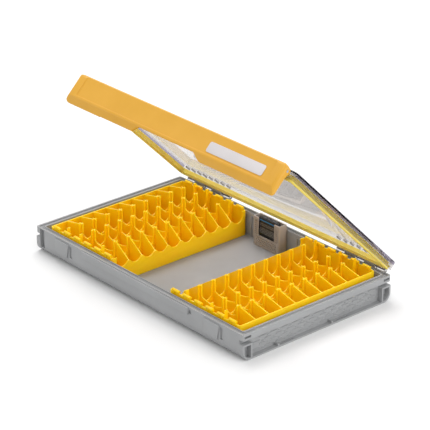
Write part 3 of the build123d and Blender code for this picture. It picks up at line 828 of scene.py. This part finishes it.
@dataclass(frozen=True)
class SoftLight:
    """A square soft light that faces the box."""

    name: str
    place: Point
    size_m: float
    watts: float

    def hang(self) -> None:
        """Put the light in its place."""
        light = bpy.data.lights.new(self.name, "AREA")
        light.size = self.size_m
        light.energy = self.watts
        lamp = bpy.data.objects.new(self.name, light)
        lamp.location = self.place
        lamp.rotation_mode = "QUATERNION"
        lamp.rotation_quaternion = Vector(self.place).to_track_quat("Z", "Y")
        bpy.context.scene.collection.objects.link(lamp)


@dataclass
class Studio:
    """White floor, soft lights and the camera."""

    azimuth: float = 48.95
    elevation: float = 24.76
    place: Point = (1.6199, -1.4023, 1.0620)
    focal_mm: float = 178.04
    sensor_mm: float = 36.0
    floor_half_m: float = 6.0
    floor: str = "#ECECEC"
    floor_roughness: float = 0.9
    world: str = "#FFFFFF"
    world_strength: float = 0.9
    key_light: SoftLight = SoftLight("key_light", (-0.8, 0.35, 1.6), 1.0, 15.0)
    side_light: SoftLight = SoftLight("side_light", (1.8, 0.3, 0.9), 1.2, 12.0)

    def build(self) -> None:
        """Put up the floor, the lights and the camera."""
        self.lay_floor()
        world = bpy.data.worlds.new("studio_white")
        bpy.context.scene.world = world
        world.use_nodes = True
        sky = world.node_tree.nodes["Background"]
        sky.inputs["Color"].default_value = linear(self.world)
        sky.inputs["Strength"].default_value = self.world_strength
        self.key_light.hang()
        self.side_light.hang()
        self.shoot()

    def lay_floor(self) -> None:
        """Lay the floor, a plain square."""
        half = self.floor_half_m
        corners = [(-half, -half, 0), (half, -half, 0), (half, half, 0), (-half, half, 0)]
        mesh = bpy.data.meshes.new("studio_floor")
        mesh.from_pydata(corners, [], [(0, 1, 2, 3)])
        floor = bpy.data.objects.new("studio_floor", mesh)
        bpy.context.scene.collection.objects.link(floor)
        material, _, shader, _ = new_material("matt_white_paper")
        shader.inputs["Base Color"].default_value = linear(self.floor)
        shader.inputs["Roughness"].default_value = self.floor_roughness
        mesh.materials.append(material)

    def shoot(self) -> None:
        """Set up the camera."""
        camera = bpy.data.cameras.new("camera")
        camera.lens = self.focal_mm
        camera.sensor_width = self.sensor_mm
        camera.clip_start, camera.clip_end = 0.1, 30.0
        shot = bpy.data.objects.new("camera", camera)
        bpy.context.scene.collection.objects.link(shot)
        az, el = math.radians(self.azimuth), math.radians(self.elevation)
        back = Vector((math.sin(az) * math.cos(el), -math.cos(az) * math.cos(el), math.sin(el)))
        shot.location = self.place
        shot.rotation_mode = "QUATERNION"
        shot.rotation_quaternion = back.to_track_quat("Z", "Y")
        bpy.context.scene.camera = shot
        bpy.context.scene.view_settings.view_transform = "Standard"


def make_finishes() -> Finishes:
    """Make every material once.

    Returns:
        The materials by record slot, and one more for the holder.
    """
    low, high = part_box("packet_label")
    half_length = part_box("lid")[1].x / MM
    finishes = {
        # ABS from a spark-eroded mould: an even, matt mid grey
        "grey_plastic": MouldedPlastic("spark_textured_grey_abs", "#98999A", "#9C9D9E", "#949596",
                                       MouldFace.SPARK_ERODED, 0.48),
        # the same ABS from another tool: a warmer grey
        "warm_grey_plastic": MouldedPlastic("spark_textured_warm_grey_abs", "#A69C92", "#ABA197", "#A1978D",
                                            MouldFace.SPARK_ERODED, 0.5),
        # polypropylene: satin, and thin enough to glow where light comes through
        "rack_yellow": MouldedPlastic("satin_moulded_yellow_polypropylene", "#FFCD00", "#FFD102", "#FDC900",
                                      MouldFace.SATIN, 0.4, glow_mm=(4.0, 2.6, 0.1), glow=0.5, shine=0.35),
        # soft-touch ABS: amber and more matt
        "latch_yellow": MouldedPlastic("satin_moulded_amber_abs", "#D8A02A", "#DBA330", "#D59D25",
                                       MouldFace.SATIN, 0.45),
        # thermoplastic elastomer: paler yellow with a dull sheen
        "seal_rubber": MouldedPlastic("moulded_yellow_elastomer", "#E0CC5C", "#E4D166", "#DCC752",
                                      MouldFace.SATIN, 0.45, glow_mm=(1.5, 1.2, 0.2), glow=0.3),
        # matt film for a pen
        "label_film": MouldedPlastic("matt_write_on_film", "#CFCACA", "#D2CDCD", "#CCC7C7",
                                     MouldFace.SPARK_ERODED, 0.6),
        # printed polyethylene film: black and glossy
        "packet_film": MouldedPlastic("black_printed_film", "#121214", "#2E2E31", "#0C0C0D",
                                      MouldFace.DRAW_POLISHED, 0.28, flow_mm=6.0),
        # flexo print on the same film: plain bars that break up its shine
        "packet_print": PrintedPanel("black_panel_with_plain_bars", high.z / MM, (high.z - low.z) / MM),
        # styrene from a polished mould: clear, with painted shade on the end walls' upper edges and the hinge ribs
        "clear_plastic": ClearPlastic("polished_clear_styrene", "#D4D0CD", "#6F6880", "#A09C99", "#E6E4E6",
                                      half_length, *lid_hinge()),
        # drawn steel rod: bright, with lines along it
        "steel": DrawnSteel(),
    }
    return {name: finish.make() for name, finish in finishes.items()}


def main() -> None:
    """Build every piece in order, dress the CAD nodes and set up the studio."""
    logging.basicConfig(level=logging.INFO, format="%(name)s: %(message)s")
    finishes = make_finishes()
    slots = {row["node"]: row["material_slot"] for row in frame["record"]["subparts"]}
    for name, node in frame["nodes"].items():
        node.data.materials.clear()
        node.data.materials.append(finishes[slots[name]])
    for assembly in (Tray(), HookRacks(), Lid(), LatchBar(), DryingPacket()):
        for piece in assembly.build(finishes):
            LOG.info("%s: %d faces", piece.name, len(piece.data.polygons))
    Studio().build()


if __name__ == "__main__":
    main()
